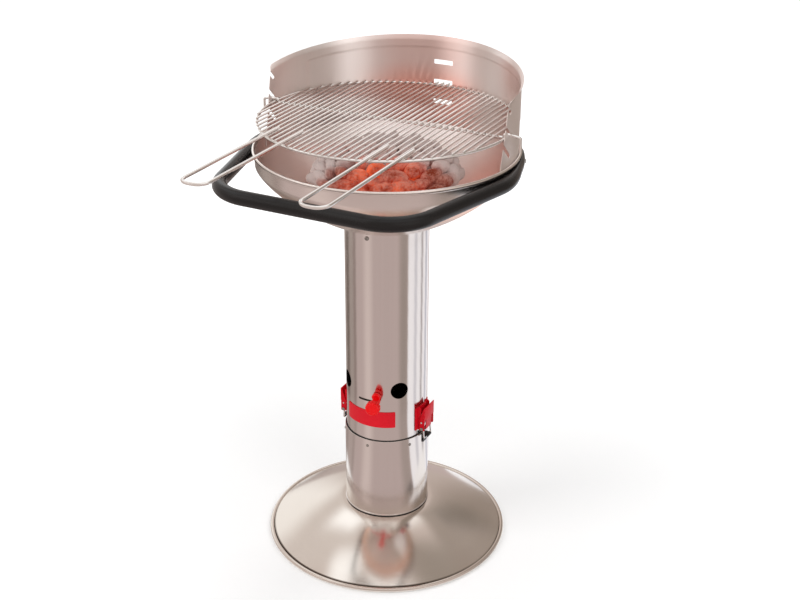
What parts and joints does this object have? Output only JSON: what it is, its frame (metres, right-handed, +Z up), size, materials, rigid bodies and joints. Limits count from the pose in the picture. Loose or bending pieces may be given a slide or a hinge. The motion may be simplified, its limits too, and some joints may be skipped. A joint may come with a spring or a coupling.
{
  "type": "charcoal barbecue",
  "caption": "Round charcoal barbecue on a steel column with a dished foot, half-round windshield, wire grate with handles, bar handle, air valve and draw latches.",
  "frame": {"origin": "on the floor, under the middle of the whole, with the column's axis at x 0 and y +0.1082", "axes": "+Z up along the column, -Y to the front where the handle and the grate handles point, +X to the right of someone who stands in front and faces it"},
  "size_m": [0.5178, 0.6957, 0.9482],
  "materials": {
    "steel": "brushed along the column",
    "polished_steel": "polished",
    "black_rubber": "matt",
    "black_enamel": "satin black",
    "red_paint": "semi-gloss red",
    "red_plastic": "gloss red",
    "charcoal": "glowing charcoal with ash",
    "bright_wire": "bright plated"
  },
  "bodies": {
    "stand": {"base_dish": "polished_steel", "foot_ring": "black_rubber", "reservoir_floor": "steel", "foot_bolt": "steel", "foot_nut": "steel", "foot_washer": "black_rubber", "lower_tube": "steel", "stop_ring": "steel", "joint_seal": "black_rubber", "ledge_rivet_1": "steel", "ledge_rivet_2": "steel", "ledge_rivet_3": "steel", "ledge_rivet_4": "steel", "ledge_rivet_5": "steel", "ledge_rivet_6": "steel", "upper_tube": "steel", "label_plate": "red_plastic", "latch_base_left": "red_paint", "latch_base_right": "red_paint", "latch_catch_left": "black_enamel", "latch_catch_right": "black_enamel", "catch_rivet_left": "steel", "catch_rivet_right": "steel", "latch_pin_left_front": "steel", "latch_pin_left_rear": "steel", "latch_pin_right_front": "steel", "latch_pin_right_rear": "steel", "bowl_spigot": "steel", "bowl": "polished_steel", "bowl_screw_1": "steel", "bowl_screw_2": "steel", "bowl_screw_3": "steel", "charcoal_grid": "bright_wire", "charcoal_bed": "charcoal", "handle_rail": "black_enamel", "handle_screw_left": "steel", "handle_screw_right": "steel"},
    "air_valve": {"valve_sleeve": "steel", "valve_knob": "red_plastic", "valve_screw": "steel"},
    "latch_left": {"latch_lever_left": "red_paint"},
    "latch_right": {"latch_lever_right": "red_paint"},
    "bail_left": {"latch_bail_left": "bright_wire"},
    "bail_right": {"latch_bail_right": "bright_wire"},
    "windshield": {"windshield": "polished_steel"},
    "grate": {"cooking_grate": "bright_wire", "cross_wire": "bright_wire", "grate_handle_left": "bright_wire", "grate_handle_right": "bright_wire"}
  },
  "joints": [
    {"name": "air_valve_turn", "type": "hinge", "parent": "stand", "child": "air_valve", "pos_m": [0, 0.1082, 0.34], "axis": [0, 0, 1], "range_deg": [-26.8, 0]},
    {"name": "latch_right_open", "type": "hinge", "parent": "stand", "child": "latch_right", "pos_m": [0.0859, 0.1082, 0.2515], "axis": [0, 1, 0], "range_deg": [0, 90]},
    {"name": "latch_left_open", "type": "hinge", "parent": "stand", "child": "latch_left", "pos_m": [-0.0859, 0.1082, 0.2515], "axis": [0, -1, 0], "range_deg": [0, 90]},
    {"name": "bail_right_turn", "type": "hinge", "parent": "latch_right", "child": "bail_right", "pos_m": [0.0853, 0.1082, 0.2655], "axis": [0, 1, 0], "range_deg": [-63, 0]},
    {"name": "bail_left_turn", "type": "hinge", "parent": "latch_left", "child": "bail_left", "pos_m": [-0.0853, 0.1082, 0.2655], "axis": [0, -1, 0], "range_deg": [-63, 0]},
    {"name": "windshield_lift", "type": "slide", "parent": "stand", "child": "windshield", "axis": [0, 0, 1], "range_m": [0, 0.03]},
    {"name": "grate_lift", "type": "slide", "parent": "windshield", "child": "grate", "axis": [0, -0.7071, 0.7071], "range_m": [0, 0.03]}
  ],
  "couplings": [
    {"joint": "bail_right_turn", "follows": "latch_right_open", "ratio": -0.7},
    {"joint": "bail_left_turn", "follows": "latch_left_open", "ratio": -0.7}
  ]
}
